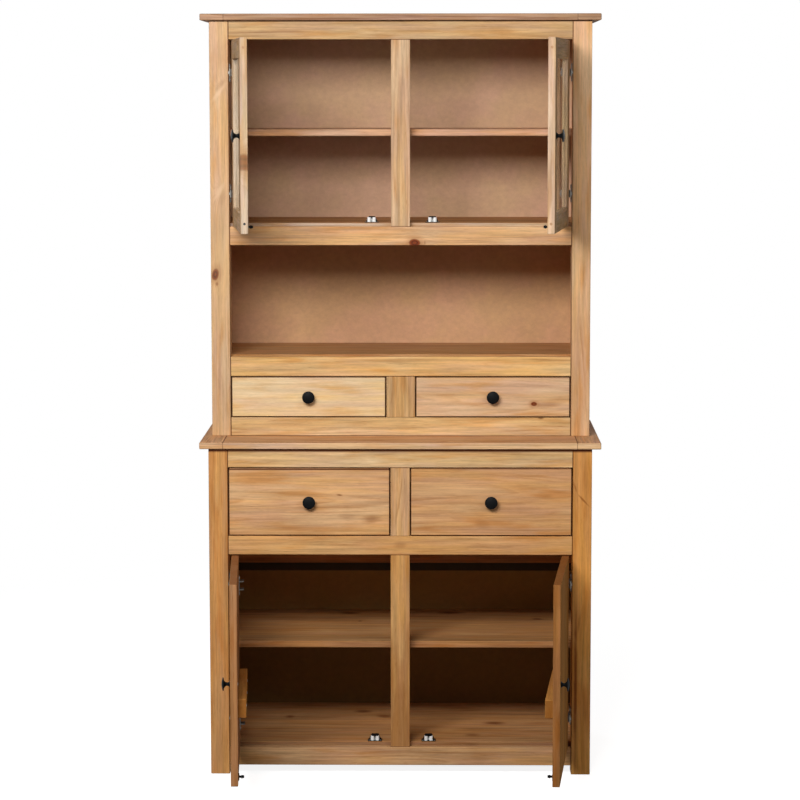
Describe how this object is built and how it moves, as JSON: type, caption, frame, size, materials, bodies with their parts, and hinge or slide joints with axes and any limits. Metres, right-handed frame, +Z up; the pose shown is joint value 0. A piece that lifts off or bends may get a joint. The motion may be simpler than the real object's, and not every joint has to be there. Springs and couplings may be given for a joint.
{
  "type": "dresser cabinet",
  "caption": "Two-part pine dresser: a sideboard with drawers over board doors and, on it, a hutch with glazed doors, an open niche and shallow drawers.",
  "frame": {"origin": "on the floor, at the middle of the whole outline with its doors standing open as at rest", "axes": "+X to the right as seen from the front, +Y to the back, +Z up; the front faces -Y"},
  "size_m": [0.9, 0.7801, 1.714],
  "materials": {
    "pine": "waxed",
    "drawer_pine": "raw planed",
    "fibreboard": "raw",
    "black_metal": "satin black lacquer",
    "hinge_steel": "nickel plated",
    "white_nylon": "moulded",
    "window_glass": "clear float"
  },
  "bodies": {
    "case": {"worktop": "pine", "worktop_end_cleats": "pine", "lower_posts": "pine", "lower_side_panels": "pine", "lower_bottom_rail": "pine", "lower_middle_rail": "pine", "lower_top_rail": "pine", "lower_door_stile": "pine", "lower_drawer_stile": "pine", "lower_floor": "pine", "lower_shelf": "pine", "lower_back_panel": "fibreboard", "lower_back_rail": "pine", "hutch_top": "pine", "hutch_top_end_cleats": "pine", "upper_posts": "pine", "upper_side_panels": "pine", "upper_bottom_rail": "pine", "upper_shelf_rail": "pine", "upper_middle_rail": "pine", "upper_top_rail": "pine", "upper_door_stile": "pine", "upper_drawer_block": "pine", "upper_floor": "pine", "upper_shelf": "pine", "niche_shelf": "pine", "upper_back_panel": "fibreboard", "drawer_runners": "drawer_pine", "shelf_pins": "hinge_steel", "hinge_plates": "hinge_steel", "catch_bodies": "black_metal", "catch_rollers": "white_nylon"},
    "lower_left_drawer": {"lower_left_drawer_front": "pine", "lower_left_drawer_box": "drawer_pine", "lower_left_drawer_knob": "black_metal"},
    "lower_left_door": {"lower_left_door_panel": "pine", "lower_left_door_batten": "pine", "lower_left_door_hinges": "hinge_steel", "lower_left_door_knob_and_spear": "black_metal"},
    "lower_right_drawer": {"lower_right_drawer_front": "pine", "lower_right_drawer_box": "drawer_pine", "lower_right_drawer_knob": "black_metal"},
    "lower_right_door": {"lower_right_door_panel": "pine", "lower_right_door_batten": "pine", "lower_right_door_hinges": "hinge_steel", "lower_right_door_knob_and_spear": "black_metal"},
    "upper_left_drawer": {"upper_left_drawer_front": "pine", "upper_left_drawer_box": "drawer_pine", "upper_left_drawer_knob": "black_metal"},
    "upper_left_door": {"upper_left_door_frame": "pine", "upper_left_door_glass": "window_glass", "upper_left_door_hinges": "hinge_steel", "upper_left_door_knob_and_spear": "black_metal"},
    "upper_right_drawer": {"upper_right_drawer_front": "pine", "upper_right_drawer_box": "drawer_pine", "upper_right_drawer_knob": "black_metal"},
    "upper_right_door": {"upper_right_door_frame": "pine", "upper_right_door_glass": "window_glass", "upper_right_door_hinges": "hinge_steel", "upper_right_door_knob_and_spear": "black_metal"}
  },
  "joints": [
    {"name": "lower_left_drawer_slide", "type": "slide", "parent": "case", "child": "lower_left_drawer", "axis": [0, -1, 0], "range_m": [0, 0.3]},
    {"name": "lower_right_drawer_slide", "type": "slide", "parent": "case", "child": "lower_right_drawer", "axis": [0, -1, 0], "range_m": [0, 0.3]},
    {"name": "upper_left_drawer_slide", "type": "slide", "parent": "case", "child": "upper_left_drawer", "axis": [0, -1, 0], "range_m": [0, 0.2]},
    {"name": "upper_right_drawer_slide", "type": "slide", "parent": "case", "child": "upper_right_drawer", "axis": [0, -1, 0], "range_m": [0, 0.2]},
    {"name": "lower_left_door_hinge", "type": "hinge", "parent": "case", "child": "lower_left_door", "pos_m": [-0.383, -0.0315, 0.284], "axis": [0, 0, -1], "range_deg": [-86.5, 8.5]},
    {"name": "lower_right_door_hinge", "type": "hinge", "parent": "case", "child": "lower_right_door", "pos_m": [0.383, -0.0315, 0.284], "axis": [0, 0, 1], "range_deg": [-84.5, 10.5]},
    {"name": "upper_left_door_hinge", "type": "hinge", "parent": "case", "child": "upper_left_door", "pos_m": [-0.383, 0.0815, 1.447], "axis": [0, 0, -1], "range_deg": [-83, 12]},
    {"name": "upper_right_door_hinge", "type": "hinge", "parent": "case", "child": "upper_right_door", "pos_m": [0.383, 0.0815, 1.447], "axis": [0, 0, 1], "range_deg": [-82.5, 12.5]}
  ]
}
